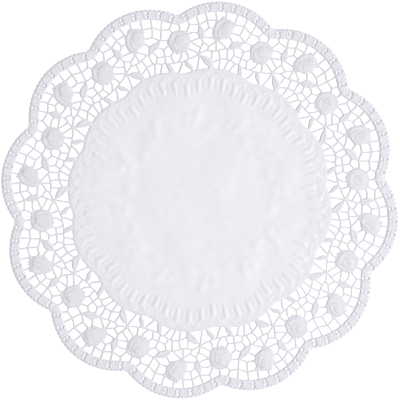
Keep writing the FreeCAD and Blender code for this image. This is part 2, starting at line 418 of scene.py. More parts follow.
@dataclass(frozen=True)
class RimRelief:
    """What the stamp presses into a lobe's rim; its angles are about the lobe's centre."""

    lobe_span: float = 45.6
    picots: int = 23
    picots_per_pair: int = 3
    inner_edge: Span = (49.8, 50.4)
    picot_crest: float = 58.35
    picot_height: float = 0.55
    picot_radius: float = 1.15
    # Painted shade on the picot beads.
    picot_painted_shade: float = 0.75
    loop_height: float = 0.70
    loop_half_width: float = 2.15
    loop_bottom: float = 53.5
    loop_top: float = 57.2
    loop_end: float = 1.0
    # Painted shade along the loops.
    loop_painted_shade: float = 0.22
    ridge_width: float = 0.75
    ridge_power: float = 1.3
    rib_height: float = 0.42
    rib_half_width: float = 0.85
    rib_turn: float = 1.5
    rib_span: Span = (51.2, 57.4)
    rib_fade: Span = (56.9, 57.9)
    last_rib: float = 11.3
    rail_height: float = 0.44
    rail_half_width: float = 0.8
    rail_radii: Tuple[float, ...] = (51.9, 54.6, 57.0)
    line_step: float = 0.95
    rib_step: float = 0.9
    rib_side: float = 0.85
    loop_overrun: float = 0.5
    loop_bends: int = 7
    bead_corners: int = 6
    bead_core: float = 0.55

    @property
    def pitch(self) -> float:
        """Angle of one picot, in degrees."""
        return 2 * self.lobe_span / self.picots

    @property
    def pair_angles(self) -> Tuple[float, ...]:
        """Angles of the pairs of rim holes."""
        return tuple((group + 0.5) * self.picots_per_pair * self.pitch for group in range(-4, 4))

    @property
    def picot_angles(self) -> Tuple[float, ...]:
        """Angles of the picots' crests, but not the valley's."""
        return tuple((i + 0.5) * self.pitch for i in range(-11, 11))

    @property
    def rib_angles(self) -> Tuple[float, ...]:
        """Angles of the ribs: two between neighbouring pairs of holes, one by each valley."""
        gaps = [self.picots_per_pair * self.pitch * group for group in range(-3, 4)]
        inner = [gap + side for gap in gaps for side in (-self.rib_turn, self.rib_turn)]
        return (-self.last_rib * self.pitch, *inner, self.last_rib * self.pitch)

    def press(self, points: Points) -> Press:
        """How the stamp shapes one lobe of the rim.

        Args:
            points: N by 2 array in mm.

        Returns:
            Height in mm and how much shade is painted on it, 0 to 1.
        """
        x, y = points[:, 0], points[:, 1] - OUTER_EDGE.centre
        radius = np.hypot(x, y)
        angle = np.degrees(np.arctan2(x, y))
        height = np.zeros(len(points))
        shade_amount = np.zeros(len(points))
        inside_rim = fade(radius, *self.inner_edge)
        loop_ends = 1.0 - fade(radius, self.loop_top, self.loop_top + self.loop_end)
        below = np.minimum(radius - self.loop_bottom, 0.0)
        for middle in self.pair_angles:
            side = radius * np.radians(angle - middle)
            off = np.hypot(side, below) - self.loop_half_width
            ridge = hump(off, self.ridge_width, self.ridge_power) * loop_ends
            height = np.maximum(height, self.loop_height * ridge * inside_rim)
            # Painted shade along each loop's ridge.
            shade_amount = np.maximum(shade_amount, self.loop_painted_shade * ridge * inside_rim)
        rib_ends = 1.0 - fade(radius, *self.rib_fade)
        for middle in self.rib_angles:
            side = radius * np.radians(angle - middle)
            rib = hump(side, self.rib_half_width, 1.0) * rib_ends
            height = np.maximum(height, self.rib_height * rib * inside_rim)
        for middle in self.rail_radii:
            rail = hump(radius - middle, self.rail_half_width, 1.0)
            height = np.maximum(height, self.rail_height * rail * inside_rim)
        for middle in self.picot_angles:
            crest_x, crest_y = polar(middle, self.picot_crest)
            bead = hump(np.hypot(x - crest_x, y - crest_y), self.picot_radius, 1.0)
            height = np.maximum(height, self.picot_height * bead)
            # Painted shade on each picot bead.
            shade_amount = np.maximum(shade_amount, self.picot_painted_shade * bead ** 2)
        return height, shade_amount

    def loop(self, half: float) -> Points:
        """One loop round a pair of holes at angle 0.

        Args:
            half: how far from the loop's axis its line runs.

        Returns:
            Points along the line.
        """
        top = self.loop_top + self.loop_overrun
        bottom = [(half * math.sin(bend), self.loop_bottom - half * math.cos(bend))
                  for bend in np.radians(np.linspace(-90.0, 90.0, self.loop_bends))]
        return dense(np.array([(-half, top), *bottom, (half, top)]), self.line_step, closed=False)

    def lines(self) -> List[Points]:
        """Runs of points along the loops, ribs, rails and picots."""
        lobe = np.array((0.0, OUTER_EDGE.centre))
        marks: List[Points] = []
        for middle in self.pair_angles:
            for grow in (0.0, -self.ridge_width, self.ridge_width):
                marks.append(turned(self.loop(self.loop_half_width + grow), middle) + lobe)
        for middle in self.rib_angles:
            ends = np.array([polar(middle, end) for end in self.rib_span])
            rib = dense(ends, self.rib_step, closed=False)
            side = np.array(polar(middle + 90.0, self.rib_side * self.rib_half_width))
            marks += [rib + lobe, rib + side + lobe, rib - side + lobe]
        for middle in self.rail_radii:
            step = math.degrees(self.line_step / middle)
            turn = np.arange(-self.lobe_span, self.lobe_span, step)
            marks.append(np.array([polar(float(t), middle) for t in turn]) + lobe)
        for middle in self.picot_angles:
            bead = np.array(polar(middle, self.picot_crest)) + lobe
            ring = np.array([polar(middle + k * 360.0 / self.bead_corners, self.picot_radius)
                             for k in range(self.bead_corners)])
            marks.append(np.vstack((bead, bead + ring, bead + self.bead_core * ring[::2])))
        return marks


@dataclass(frozen=True)
class RingRelief:
    """The flutes, arches and edge lines that the stamp presses round the plain middle."""

    roundness: float = 1.4
    flute_top: float = 113.2
    flute_drop: float = 0.034
    flute_length: float = 15.0
    flute_gap: float = 6.0
    flute_height: float = 0.52
    flute_half_width: float = 3.0
    flute_point: float = 0.02
    flute_taper: float = 0.4
    flute_start: Span = (0.0, 0.3)
    flute_end: Span = (0.84, 1.02)
    flute_line: float = 1.6
    line_step: float = 0.95
    small_flute_height: float = 0.18
    small_flute_half_width: float = 1.5
    small_flute_start: Span = (1.0, 6.0)
    small_flute_end: Span = (5.5, 3.5)
    arch_top: float = 112.2
    arch_drop: float = 0.030
    arch_height: float = 0.34
    arch_radius: float = 2.6
    arch_width: float = 0.7
    arch_squash: float = 0.8
    arch_foot: Span = (-1.8, 0.2)
    dot_height: float = 0.2
    dot_width: float = 1.0
    edge_height: float = 0.22
    edge_inset: float = 2.3
    edge_width: float = 0.6
    frill_height: float = 0.2
    frill_inset: float = 5.2
    frill_width: float = 1.1
    frill_turns: float = 120.0

    @property
    def flute_turns(self) -> Tuple[float, ...]:
        """Bearings of the flutes."""
        return tuple(self.flute_gap * (step + 0.5) for step in range(-3, 3))

    def flute(self, turn: float) -> Span:
        """Outer and inner end of the flute at a bearing, as distances from the middle."""
        outer = self.flute_top - self.flute_drop * turn ** 2
        return outer, outer - self.flute_length

    def press(self, points: Points) -> np.ndarray:
        """How high the stamp raises the paper of one sector.

        Args:
            points: N by 2 array in mm.

        Returns:
            Height in mm.
        """
        radius = np.hypot(points[:, 0], points[:, 1])
        bearing = np.degrees(np.arctan2(points[:, 0], points[:, 1]))
        height = np.zeros(len(points))
        for turn in self.flute_turns:
            way = (radius - self.flute(turn)[1]) / self.flute_length
            side = radius * np.radians(bearing - turn)
            taper = np.clip(way, self.flute_point, 1.0) ** self.flute_taper
            bulge = hump(side, self.flute_half_width * taper, self.roundness)
            ends = fade(way, *self.flute_start) * (1.0 - fade(way, *self.flute_end))
            height = np.maximum(height, self.flute_height * bulge * ends)
        for step in range(-2, 3):
            turn = self.flute_gap * step
            middle = np.array(polar(turn, self.arch_top - self.arch_drop * turn ** 2))
            local = turned(points - middle, -turn)
            gap = np.hypot(local[:, 0], local[:, 1] * self.arch_squash) - self.arch_radius
            arch = bell(gap, self.arch_width) * fade(local[:, 1], *self.arch_foot)
            dot = bell(np.hypot(local[:, 0], local[:, 1]), self.dot_width)
            height = np.maximum(height, self.arch_height * arch)
            height = np.maximum(height, self.dot_height * dot)
            outer, inner = self.flute(turn)
            start = [inner + way for way in self.small_flute_start]
            end = [outer - way for way in self.small_flute_end]
            side = radius * np.radians(bearing - turn)
            bulge = hump(side, self.small_flute_half_width, self.roundness)
            ends = fade(radius, *start) * (1.0 - fade(radius, *end))
            height = np.maximum(height, self.small_flute_height * bulge * ends)
        centre = np.array((0.0, DISC_EDGE.centre))
        inset = DISC_EDGE.radius - np.linalg.norm(points - centre, axis=1)
        edge = bell(inset - self.edge_inset, self.edge_width)
        frill = bell(inset - self.frill_inset, self.frill_width)
        frill = frill * np.cos(np.radians(bearing) * self.frill_turns) ** 2
        return np.maximum(height, np.maximum(self.edge_height * edge, self.frill_height * frill))

    def lines(self) -> List[Points]:
        """Runs of points along each flute's crest and sides."""
        marks: List[Points] = []
        for turn in self.flute_turns:
            ends = np.array([polar(turn, end) for end in self.flute(turn)])
            side = np.array(polar(turn + 90.0, self.flute_line))
            axis = dense(ends, self.line_step, closed=False)
            marks += [axis, axis + side, axis - side]
        return marks


@dataclass(frozen=True)
class Relief:
    """Everything the stamp presses into the sheet, as one height over the plan."""

    pillow_height: float = 0.12
    pillow_width: float = 0.62
    overlap: float = 8.0
    # The next values are painted shade: how much darker the fold lines, cut edges, bars, fluted
    # ring and lace are painted.
    fold_painted_shade: float = 0.32
    edge_painted_shade: float = 0.50
    edge_painted_shade_width: float = 0.6
    bar_painted_shade: float = 0.76
    ring_painted_shade: float = 0.06
    ring_painted_shade_span: Span = (90.0, 100.0)
    lace_painted_shade: float = 0.16
    lace_painted_shade_span: Span = (110.0, 122.0)
    rim: RimRelief = RimRelief()
    ring: RingRelief = RingRelief()
    roses: Tuple[Rose, ...] = (
        Rose(RoseKind.CROWN, 0.0, 154.8, 14.0, (
            Petal(-0.6, -0.6, 8.9, 9.9, 0.04), Petal(-3.8, -0.6, 5.2, 9.0, 0.17),
            Petal(3.8, -1.8, 4.9, 8.0, 0.22), Petal(-0.4, -2.2, 4.8, 6.6, 0.33),
            Petal(1.0, 1.5, 4.2, 5.8, 0.44), Petal(0.0, 3.2, 2.5, 3.9, 0.54),
            Petal(0.9, 4.1, 1.2, 2.2, 0.62))),
        Rose(RoseKind.VALLEY, -15.7, 143.0, 4.0, (
            Petal(0.0, 0.0, 9.2, 9.2, 0.04), Petal(-4.1, 0.2, 4.8, 8.0, 0.17),
            Petal(4.0, -0.8, 4.9, 7.5, 0.22), Petal(-0.3, -1.7, 5.8, 5.9, 0.33),
            Petal(0.9, 1.7, 4.5, 4.7, 0.44), Petal(-0.1, 3.3, 2.6, 3.0, 0.54),
            Petal(0.7, 4.1, 1.2, 1.6, 0.62))),
    )
    leaves: Tuple[Leaf, ...] = (
        Leaf((-18.6, 143.3), (-23.3, 157.0), 2.6),
        Leaf((5.5, 138.8), (20.3, 146.5), 2.9),
        Leaf((-17.8, 128.3), (-5.9, 120.5), 2.8),
        Leaf((-31.0, 122.2), (-22.6, 114.6), 1.9),
        Leaf((18.0, 125.5), (19.6, 116.3), 1.8),
    )

    def lines(self) -> Points:
        """Points along the relief's own lines, so that its steps can fall on mesh edges."""
        marks: List[Points] = []
        for shape in (*self.roses, *self.leaves, self.rim, self.ring):
            marks += shape.lines()
        return around(np.vstack(marks))

    def press(self, points: Points, gap: np.ndarray, slim: np.ndarray) -> Press:
        """What the stamp does to the upper face, and where shade is painted on it.

        Args:
            points: N by 2 array in mm, within one sector or just outside it.
            gap: distance of each point from the nearest cut edge, in mm.
            slim: 1 on the thin bars of the lace, 0 on broad paper.

        Returns:
            Height over the flat sheet in mm, and how much shade is painted on the paper, 0 to 1:
            on the bars, cut edges, fold lines, picots and loops, and a little over the fluted
            ring and the lace.
        """
        rise = np.clip(gap / self.pillow_width, 0.0, 1.0)
        pillow = self.pillow_height * (1.0 - (1.0 - rise) ** 2)
        raised = np.zeros(len(points))
        shade_amount = np.zeros(len(points))
        for step in (-1, 0, 1):
            here = turned(points, -SECTOR * step)
            bearing = np.abs(np.degrees(np.arctan2(here[:, 0], here[:, 1])))
            near = bearing < SECTOR / 2 + self.overlap
            if near.any():
                close = here[near]
                part, mark = self.rim.press(close)
                for shape in self.roses + self.leaves:
                    high, fold = shape.press(close)
                    part = np.maximum(part, high)
                    # Painted shade on the fold lines of the roses and the midribs of the leaves.
                    mark = np.maximum(mark, self.fold_painted_shade * fold)
                raised[near] = np.maximum(raised[near], part)
                shade_amount[near] = np.maximum(shade_amount[near], mark)
            own = bearing <= SECTOR / 2
            if own.any():
                raised[own] = np.maximum(raised[own], self.ring.press(here[own]))
        height = pillow + raised * rise * (1.0 - slim)
        # Painted shade on the bars of the lace, and along every cut edge.
        shade_amount = np.maximum(shade_amount * (1.0 - slim), self.bar_painted_shade * slim)
        shade_amount = np.maximum(shade_amount, self.edge_painted_shade * (1.0 - fade(gap, 0.0, self.edge_painted_shade_width)))
        # Painted shade that grows with distance from the middle: a little over the fluted ring,
        # more over the lace.
        radius = np.hypot(points[:, 0], points[:, 1])
        ground = self.ring_painted_shade * fade(radius, *self.ring_painted_shade_span)
        ground += (self.lace_painted_shade - self.ring_painted_shade) * fade(radius, *self.lace_painted_shade_span)
        return height, shade_amount + (1.0 - shade_amount) * ground


@dataclass(frozen=True)
class CutShape:
    """The outlines cut through the sheet, read from its CAD body."""

    node: str = SHEET_NODE
    slack: float = 0.055
    longest_side: float = 2.2
    face_slack: float = 0.001
    keys_per_mm: int = 10000

    def all_loops(self) -> List[Points]:
        """Follows the open edges of the upper face's triangles.

        Returns:
            Every outline in mm, with the paper on the left of its run.
        """
        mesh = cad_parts[self.node].data
        spots = np.empty(len(mesh.vertices) * 3)
        mesh.vertices.foreach_get("co", spots)
        spots = spots.reshape(-1, 3) / MM
        corners = np.empty(len(mesh.loops), dtype=np.int64)
        mesh.loops.foreach_get("vertex_index", corners)
        triangles = corners.reshape(-1, 3)
        top = spots[:, 2].max() - self.face_slack
        upper = triangles[np.all(spots[triangles][:, :, 2] > top, axis=1)]
        keys = np.round(spots[:, :2] * self.keys_per_mm).astype(np.int64)
        _, first, index = np.unique(keys, axis=0, return_index=True, return_inverse=True)
        upper = index.reshape(-1)[upper]
        runs = np.vstack((upper[:, [0, 1]], upper[:, [1, 2]], upper[:, [2, 0]]))
        there = set(map(tuple, runs.tolist()))
        following = {a: b for a, b in there if (b, a) not in there}
        loops: List[Points] = []
        while following:
            start, here = following.popitem()
            run = [start]
            while here != start:
                run.append(here)
                here = following.pop(here)
            loops.append(spots[first[run], :2])
        return loops

    def tidy(self, loop: Points) -> Points:
        """A loop with few corners, none further apart than the longest side."""
        return dense(simplified(loop, self.slack), self.longest_side, closed=True)


@dataclass(frozen=True)
class SectorMesh:
    """One lobe's share of the sheet, the part that the whole is repeated from."""

    relief: Relief
    cut: CutShape = CutShape()
    thickness: float = 0.1
    rim_width: float = 9.1
    valley_trim: float = 0.12
    half_span: float = 60.0
    outer_reach: float = 182.0
    plain_radius: float = 92.0
    medium_width: float = 3.0
    fine_step: float = 1.05
    medium_step: float = 1.8
    plain_step: float = 2.9
    under_step: float = 11.0
    under_span: Span = (5.0, 176.0)
    survey_step: float = 0.6
    survey_start: float = 90.0
    cut_step: float = 0.15
    edge_row: float = 0.3
    edge_rooms: Span = (0.27, 0.42)
    edge_share: float = 0.85
    mark_gap: float = 0.5
    mark_room: float = 0.55
    fine_gap: float = 0.9
    fine_room: float = 0.72
    medium_room: float = 1.4
    plain_room: float = 2.2
    under_room: float = 3.0
    broad_gap: float = 0.85
    slim_fade: Span = (1.1, 1.7)
    slim_start: float = 95.0
    furthest: float = 3.0
    search: float = 1.0
    least_area: float = 0.000001
    same_point: float = 0.0000001
    border: Tuple[Span, ...] = ((-39.6, 148.3), (-38.7, 137.7), (-31.1, 130.2))
    border_shares: Tuple[Span, ...] = (
        (-13.0, 0.35), (-12.6, 0.26), (-13.4, 0.25), (-14.5, 0.27), (-15.3, 0.26),
        (-16.2, 0.13), (-17.6, 0.0))

    def left_border(self, outer: float) -> Points:
        """The border with the neighbour on the left, from the outer edge to the middle.

        Args:
            outer: distance of the outer edge from the middle in the valley.

        Returns:
            N by 2 array, always in the paper between the holes.
        """
        run = [polar(-SECTOR / 2, outer)] + list(self.border)
        for bearing, share in self.border_shares:
            inner = DISC_EDGE.reach(bearing)
            rim = OUTER_EDGE.reach(bearing, self.rim_width)
            run.append(polar(bearing, inner + share * (rim - inner)))
        run.append(polar(self.border_shares[-1][0], self.plain_radius))
        fine = dense(np.array(run), self.fine_step, closed=False)
        plain = dense(np.array([run[-1], (0.0, 0.0)]), self.plain_step, closed=False)
        return np.vstack((fine, plain[1:]))

    def outer_edge(self, loop: Points) -> Points:
        """The sheet's outer edge from the left valley to the right one.

        Args:
            loop: the sheet's whole outline.

        Returns:
            The corners of one lobe that matter, in order.
        """
        bearing = np.degrees(np.arctan2(loop[:, 0], loop[:, 1]))
        order = np.argsort(bearing)
        radius = np.hypot(loop[:, 0], loop[:, 1])
        at_valley = float(np.interp(-SECTOR / 2, bearing[order], radius[order]))
        ends = polar(-SECTOR / 2, at_valley), polar(SECTOR / 2, at_valley)
        own = order[np.abs(bearing[order]) < SECTOR / 2 - self.valley_trim]
        closed = np.vstack((ends[0], loop[own], ends[1], (0.0, 0.0)))
        kept = simplified(closed, self.cut.slack)
        kept = kept[np.hypot(kept[:, 0], kept[:, 1]) > 1.0]
        kept = kept[np.argsort(np.arctan2(kept[:, 0], kept[:, 1]))]
        kept[0], kept[-1] = ends
        return kept

    def lattice(self, step: float, low: float, high: float) -> Points:
        """A triangular lattice of points between two distances from the middle.

        Args:
            step: distance between neighbours.
            low: nearest distance from the middle.
            high: furthest distance from the middle.

        Returns:
            N by 2 array, wide enough for a sector.
        """
        columns = np.arange(-self.half_span, self.half_span, step)
        rows = np.arange(0.0, self.outer_reach, step * math.sqrt(3) / 2)
        x, y = np.meshgrid(columns, rows)
        x = x + (np.arange(len(rows)) % 2)[:, None] * step / 2
        points = np.column_stack((x.ravel(), y.ravel()))
        radius = np.hypot(points[:, 0], points[:, 1])
        return points[(radius >= low) & (radius < high)]

    def spread(self, fixed: Points, wishes: Sequence[Tuple[Points, float]]) -> Points:
        """Picks points in order, leaving out any that crowd the ones already there.

        Args:
            fixed: points that are there from the start.
            wishes: each set of points with the room in mm that each of its points needs.

        Returns:
            The picked points.
        """
        bins: Dict[Tuple[int, int], List[Tuple[float, float]]] = {}
        for x, y in fixed.tolist():
            bins.setdefault((math.floor(x), math.floor(y)), []).append((x, y))
        picked: List[Tuple[float, float]] = []
        for points, room in wishes:
            reach = math.ceil(room)
            for x, y in points.tolist():
                i, j = math.floor(x), math.floor(y)
                crowd = any((p - x) ** 2 + (q - y) ** 2 < room * room
                            for u in range(i - reach, i + reach + 1)
                            for v in range(j - reach, j + reach + 1)
                            for p, q in bins.get((u, v), ()))
                if not crowd:
                    bins.setdefault((i, j), []).append((x, y))
                    picked.append((x, y))
        return np.array(picked).reshape(-1, 2)

    def triangles(self, loops: Sequence[Points], rim: Points,
                  free: Points) -> Tuple[Points, np.ndarray]:
        """Triangles over the paper of the sector.

        Args:
            loops: the holes.
            rim: the sector's own closed outline.
            free: points inside the paper.

        Returns:
            Points, the outline's first, then each hole's, then the rest, and index triples.
        """
        spots = np.vstack([rim] + list(loops) + [free])
        edges: List[Tuple[int, int]] = []
        start = 0
        for run in [rim] + list(loops):
            count = len(run)
            edges += [(start + i, start + (i + 1) % count) for i in range(count)]
            start += count
        corners = [Vector(p) for p in spots.tolist()]
        result = geometry.delaunay_2d_cdt(corners, edges, [], 0, self.same_point)
        out, origin = result[0], result[3]
        if len(out) != len(spots) or any(len(o) != 1 for o in origin):
            raise ValueError("the sector's points cross or touch")
        back = np.array([o[0] for o in origin])
        faces = back[np.array(result[2])]
        a, b, c = spots[faces[:, 0]], spots[faces[:, 1]], spots[faces[:, 2]]
        ab, ac = b - a, c - a
        turn = ab[:, 0] * ac[:, 1] - ab[:, 1] * ac[:, 0]
        middle = spots[faces].mean(1)
        keep = inside(middle, rim) & (np.abs(turn) > self.least_area)
        for loop in loops:
            keep &= ~inside(middle, loop)
        faces, turn = faces[keep], turn[keep]
        faces[turn < 0] = faces[turn < 0][:, ::-1]
        return spots, faces

    def on_paper(self, points: Points, rim: Points, holes: Sequence[Points]) -> Points:
        """Leaves out the points that aren't on the sector's paper.

        Args:
            points: N by 2 array.
            rim: the sector's own closed outline.
            holes: the sector's holes.

        Returns:
            The points inside the outline and outside the holes.
        """
        points = points[inside(points, rim)]
        for loop in holes:
            points = points[~inside(points, loop)]
        return points

    def upper_points(self, edge: Points, rim: Points, holes: Sequence[Points],
                     nearest: NearestGap) -> Points:
        """Points inside the paper of the upper face, closest where the relief is finest.

        Args:
            edge: the outer edge, from the left valley to the right one.
            rim: the sector's own closed outline.
            holes: the sector's holes.
            nearest: distance to the nearest cut edge.

        Returns:
            N by 2 array.
        """
        wishes: List[Tuple[Points, float]] = []
        for depth, room in zip((self.edge_row, self.relief.pillow_width), self.edge_rooms):
            shifted: List[Points] = []
            for loop in [*holes, edge[::-1]]:
                run = np.roll(loop, -1, axis=0) - np.roll(loop, 1, axis=0)
                run /= np.linalg.norm(run, axis=1)[:, None]
                shifted.append(loop + depth * np.column_stack((-run[:, 1], run[:, 0])))
            row = np.vstack(shifted)
            clear = nearest.distance(row, self.search) > self.edge_share * depth
            wishes.append((row[clear], room))
        marks = self.relief.lines()
        marks = marks[nearest.distance(marks, self.search) > self.mark_gap]
        radius = self.plain_radius
        fine = self.lattice(self.fine_step, radius, self.outer_reach)
        fine = fine[nearest.distance(fine, self.search) > self.fine_gap]
        medium = self.lattice(self.medium_step, radius - self.medium_width, radius)
        plain = self.lattice(self.plain_step, 0.0, radius - self.medium_width)
        wishes += [(marks, self.mark_room), (fine, self.fine_room),
                   (medium, self.medium_room), (plain, self.plain_room)]
        wishes = [(points[inside(points, rim)], room) for points, room in wishes]
        return self.on_paper(self.spread(np.vstack([rim, *holes]), wishes), rim, holes)

    def under_points(self, rim: Points, holes: Sequence[Points]) -> Points:
        """Widely spaced points inside the paper of the flat underside.

        Args:
            rim: the sector's own closed outline.
            holes: the sector's holes.

        Returns:
            N by 2 array.
        """
        lattice = self.lattice(self.under_step, *self.under_span)
        free = self.spread(np.vstack([rim, *holes]), [(lattice, self.under_room)])
        return self.on_paper(free, rim, holes)

    def slimness(self, points: Points, nearest: NearestGap) -> np.ndarray:
        """Tells the thin bars of the lace from broad paper.

        Args:
            points: N by 2 array in mm.
            nearest: distance to the nearest cut edge.

        Returns:
            1 on a bar, 0 on broad paper.
        """
        survey = self.lattice(self.survey_step, self.survey_start, self.outer_reach)
        survey = survey[nearest.distance(survey, self.search) > self.broad_gap]
        broad = NearestGap(around(survey)).distance(points, self.furthest)
        beyond = np.hypot(points[:, 0], points[:, 1]) > self.slim_start
        return fade(broad, *self.slim_fade) * beyond

    def walls(self, edge_count: int, rim_count: int, holes: Sequence[Points],
              base: int) -> List[Tuple[int, int, int, int]]:
        """The cut faces between the upper face and the underside.

        Args:
            edge_count: points on the outer edge.
            rim_count: points on the sector's own outline.
            holes: the sector's holes.
            base: index of the underside's first point.

        Returns:
            Index fours.
        """
        walls = [(base + i, base + i + 1, i + 1, i) for i in range(edge_count - 1)]
        start = rim_count
        for loop in holes:
            count = len(loop)
            for i in range(count):
                a, b = start + i, start + (i + 1) % count
                walls.append((base + a, base + b, b, a))
            start += count
        return walls

    def build(self) -> bpy.types.Mesh:
        """Makes the sector as a mesh in metres, open along its two borders.

        Returns:
            The mesh, with the attribute of painted shade that the paper's finish reads.
        """
        loops = self.cut.all_loops()
        length = [float(np.abs(np.diff(loop, axis=0)).sum()) for loop in loops]
        edge = self.outer_edge(loops.pop(int(np.argmax(length))))
        left = self.left_border(float(np.hypot(*edge[0])))
        right = turned(left, SECTOR)
        # Counter-clockwise: right valley, along the edge to the left valley, in, and out again.
        rim = np.vstack((edge[::-1], left[1:], right[::-1][1:-1]))
        holes = [self.cut.tidy(loop) for loop in loops if inside(loop[:1], rim)[0]]
        LOG.info("sector: %d holes, %d points on its outer edge", len(holes), len(edge))

        cuts = [dense(loop, self.cut_step, closed=True) for loop in holes]
        cuts.append(dense(edge, self.cut_step, closed=False))
        nearest = NearestGap(around(np.vstack(cuts)))
        free = self.upper_points(edge, rim, holes, nearest)
        top, top_faces = self.triangles(holes, rim, free)
        under, under_faces = self.triangles(holes, rim, self.under_points(rim, holes))
        gap = nearest.distance(top, self.furthest)
        lift, shade_amount = self.relief.press(top, gap, self.slimness(top, nearest))

        upper = np.column_stack((top, self.thickness + lift))
        lower = np.column_stack((under, np.zeros(len(under))))
        base = len(upper)
        walls = self.walls(len(edge), len(rim), holes, base)
        faces = top_faces.tolist() + (under_faces[:, ::-1] + base).tolist() + walls
        mesh = bpy.data.meshes.new("doily_sector")
        mesh.from_pydata((np.vstack((upper, lower)) * MM).tolist(), [], faces)
        # Painted shade for the upper face; the underside gets none.
        painted_shade = mesh.attributes.new(PAINTED_SHADE, "FLOAT", "POINT")
        painted_shade.data.foreach_set("value", np.concatenate((shade_amount, np.zeros(len(lower)))))
        for rose in self.relief.roses:
            LOG.info("sector: a %s rose of %d petals", rose.kind.value, len(rose.petals))
        LOG.info("sector: %d faces above, %d under, %d walls",
                 len(top_faces), len(under_faces), len(walls))
        return mesh


@dataclass(frozen=True)
class PaperFinish:
    """White pressed paper: a matt fibre face, painted greyer where it stands in shade, and darker
    in random mottled spots.
    """

    name: str = "white pressed paper"
    colour: Colour = (0.745, 0.738, 0.790, 1.0)
    # The darker colour that the paper is painted where it stands in shade.
    painted_shade: Colour = (0.490, 0.486, 0.530, 1.0)
    specular: float = 0.25
    sheen: float = 0.08
    roughness: Span = (0.56, 0.70)
    roughness_fibre: Span = (0.3, 0.7)
    mottle_scale: float = 150.0
    mottle_detail: float = 4.0
    mottle_roughness: float = 0.6
    mottle_span: Span = (0.35, 0.65)
    mottle_darkening: float = 0.10
    mottle_height: float = 0.00009
    fibre_scale: float = 1500.0
    fibre_detail: float = 3.0
    fibre_distortion: float = 0.6
    fibre_height: float = 0.00003
    bump_strength: float = 0.6

    def build(self) -> bpy.types.Material:
        """Makes the material's nodes.

        Returns:
            The finished material.
        """
        material = bpy.data.materials.new(self.name)
        material.use_nodes = True
        tree = material.node_tree
        tree.nodes.clear()
        place = add_node(tree, "ShaderNodeTexCoord", {}).outputs["Object"]
        mottle = add_node(tree, "ShaderNodeTexNoise", {
            "Vector": place, "Scale": self.mottle_scale, "Detail": self.mottle_detail,
            "Roughness": self.mottle_roughness}).outputs["Fac"]
        fibre = add_node(tree, "ShaderNodeTexNoise", {
            "Vector": place, "Scale": self.fibre_scale, "Detail": self.fibre_detail,
            "Distortion": self.fibre_distortion}).outputs["Fac"]

        # Painted shade: the attribute and a random mottle mix the paper towards the darker
        # colour.
        shade_amount = add_node(tree, "ShaderNodeAttribute", {}, attribute_name=PAINTED_SHADE)
        spot = add_node(tree, "ShaderNodeMapRange", {
            "Value": mottle, "From Min": self.mottle_span[0], "From Max": self.mottle_span[1],
            "To Min": 0.0, "To Max": self.mottle_darkening})
        total = add_node(tree, "ShaderNodeMath",
                         {0: shade_amount.outputs["Fac"], 1: spot.outputs["Result"]},
                         operation="ADD", use_clamp=True)
        tint = add_node(tree, "ShaderNodeMix", {"Factor": total.outputs[0]}, data_type="RGBA")
        ends = [socket for socket in tint.inputs if socket.type == "RGBA"]
        ends[0].default_value = self.colour
        ends[1].default_value = self.painted_shade
        base = [socket for socket in tint.outputs if socket.type == "RGBA"][0]

        rough = add_node(tree, "ShaderNodeMapRange", {
            "Value": fibre, "From Min": self.roughness_fibre[0],
            "From Max": self.roughness_fibre[1],
            "To Min": self.roughness[0], "To Max": self.roughness[1]})
        coarse = add_node(tree, "ShaderNodeBump", {
            "Height": mottle, "Distance": self.mottle_height, "Strength": self.bump_strength})
        fine = add_node(tree, "ShaderNodeBump", {
            "Height": fibre, "Distance": self.fibre_height, "Strength": self.bump_strength,
            "Normal": coarse.outputs["Normal"]})
        shader = add_node(tree, "ShaderNodeBsdfPrincipled", {
            "Base Color": base, "Roughness": rough.outputs["Result"],
            "Normal": fine.outputs["Normal"], "Specular IOR Level": self.specular,
            "Sheen Weight": self.sheen})
        add_node(tree, "ShaderNodeOutputMaterial", {"Surface": shader.outputs["BSDF"]})
        return material


@dataclass(frozen=True)
class Swell:
    """One size of rise and fall of the laid sheet, in mm, and its own layer of the noise."""

    height: float
    length: float
    layer: float
    shift: Tuple[float, float] = (3.7, -1.3)

    def lift(self, points: Points) -> np.ndarray:
        """Lift of the sheet.

        Args:
            points: N by 2 array in mm.

        Returns:
            Lift in mm, from 0 to the height.
        """
        rise = [noise.noise(Vector((x / self.length + self.shift[0],
                                    y / self.length + self.shift[1], self.layer)))
                for x, y in points]
        return self.height * np.clip(0.5 + np.array(rise), 0.0, 1.0)


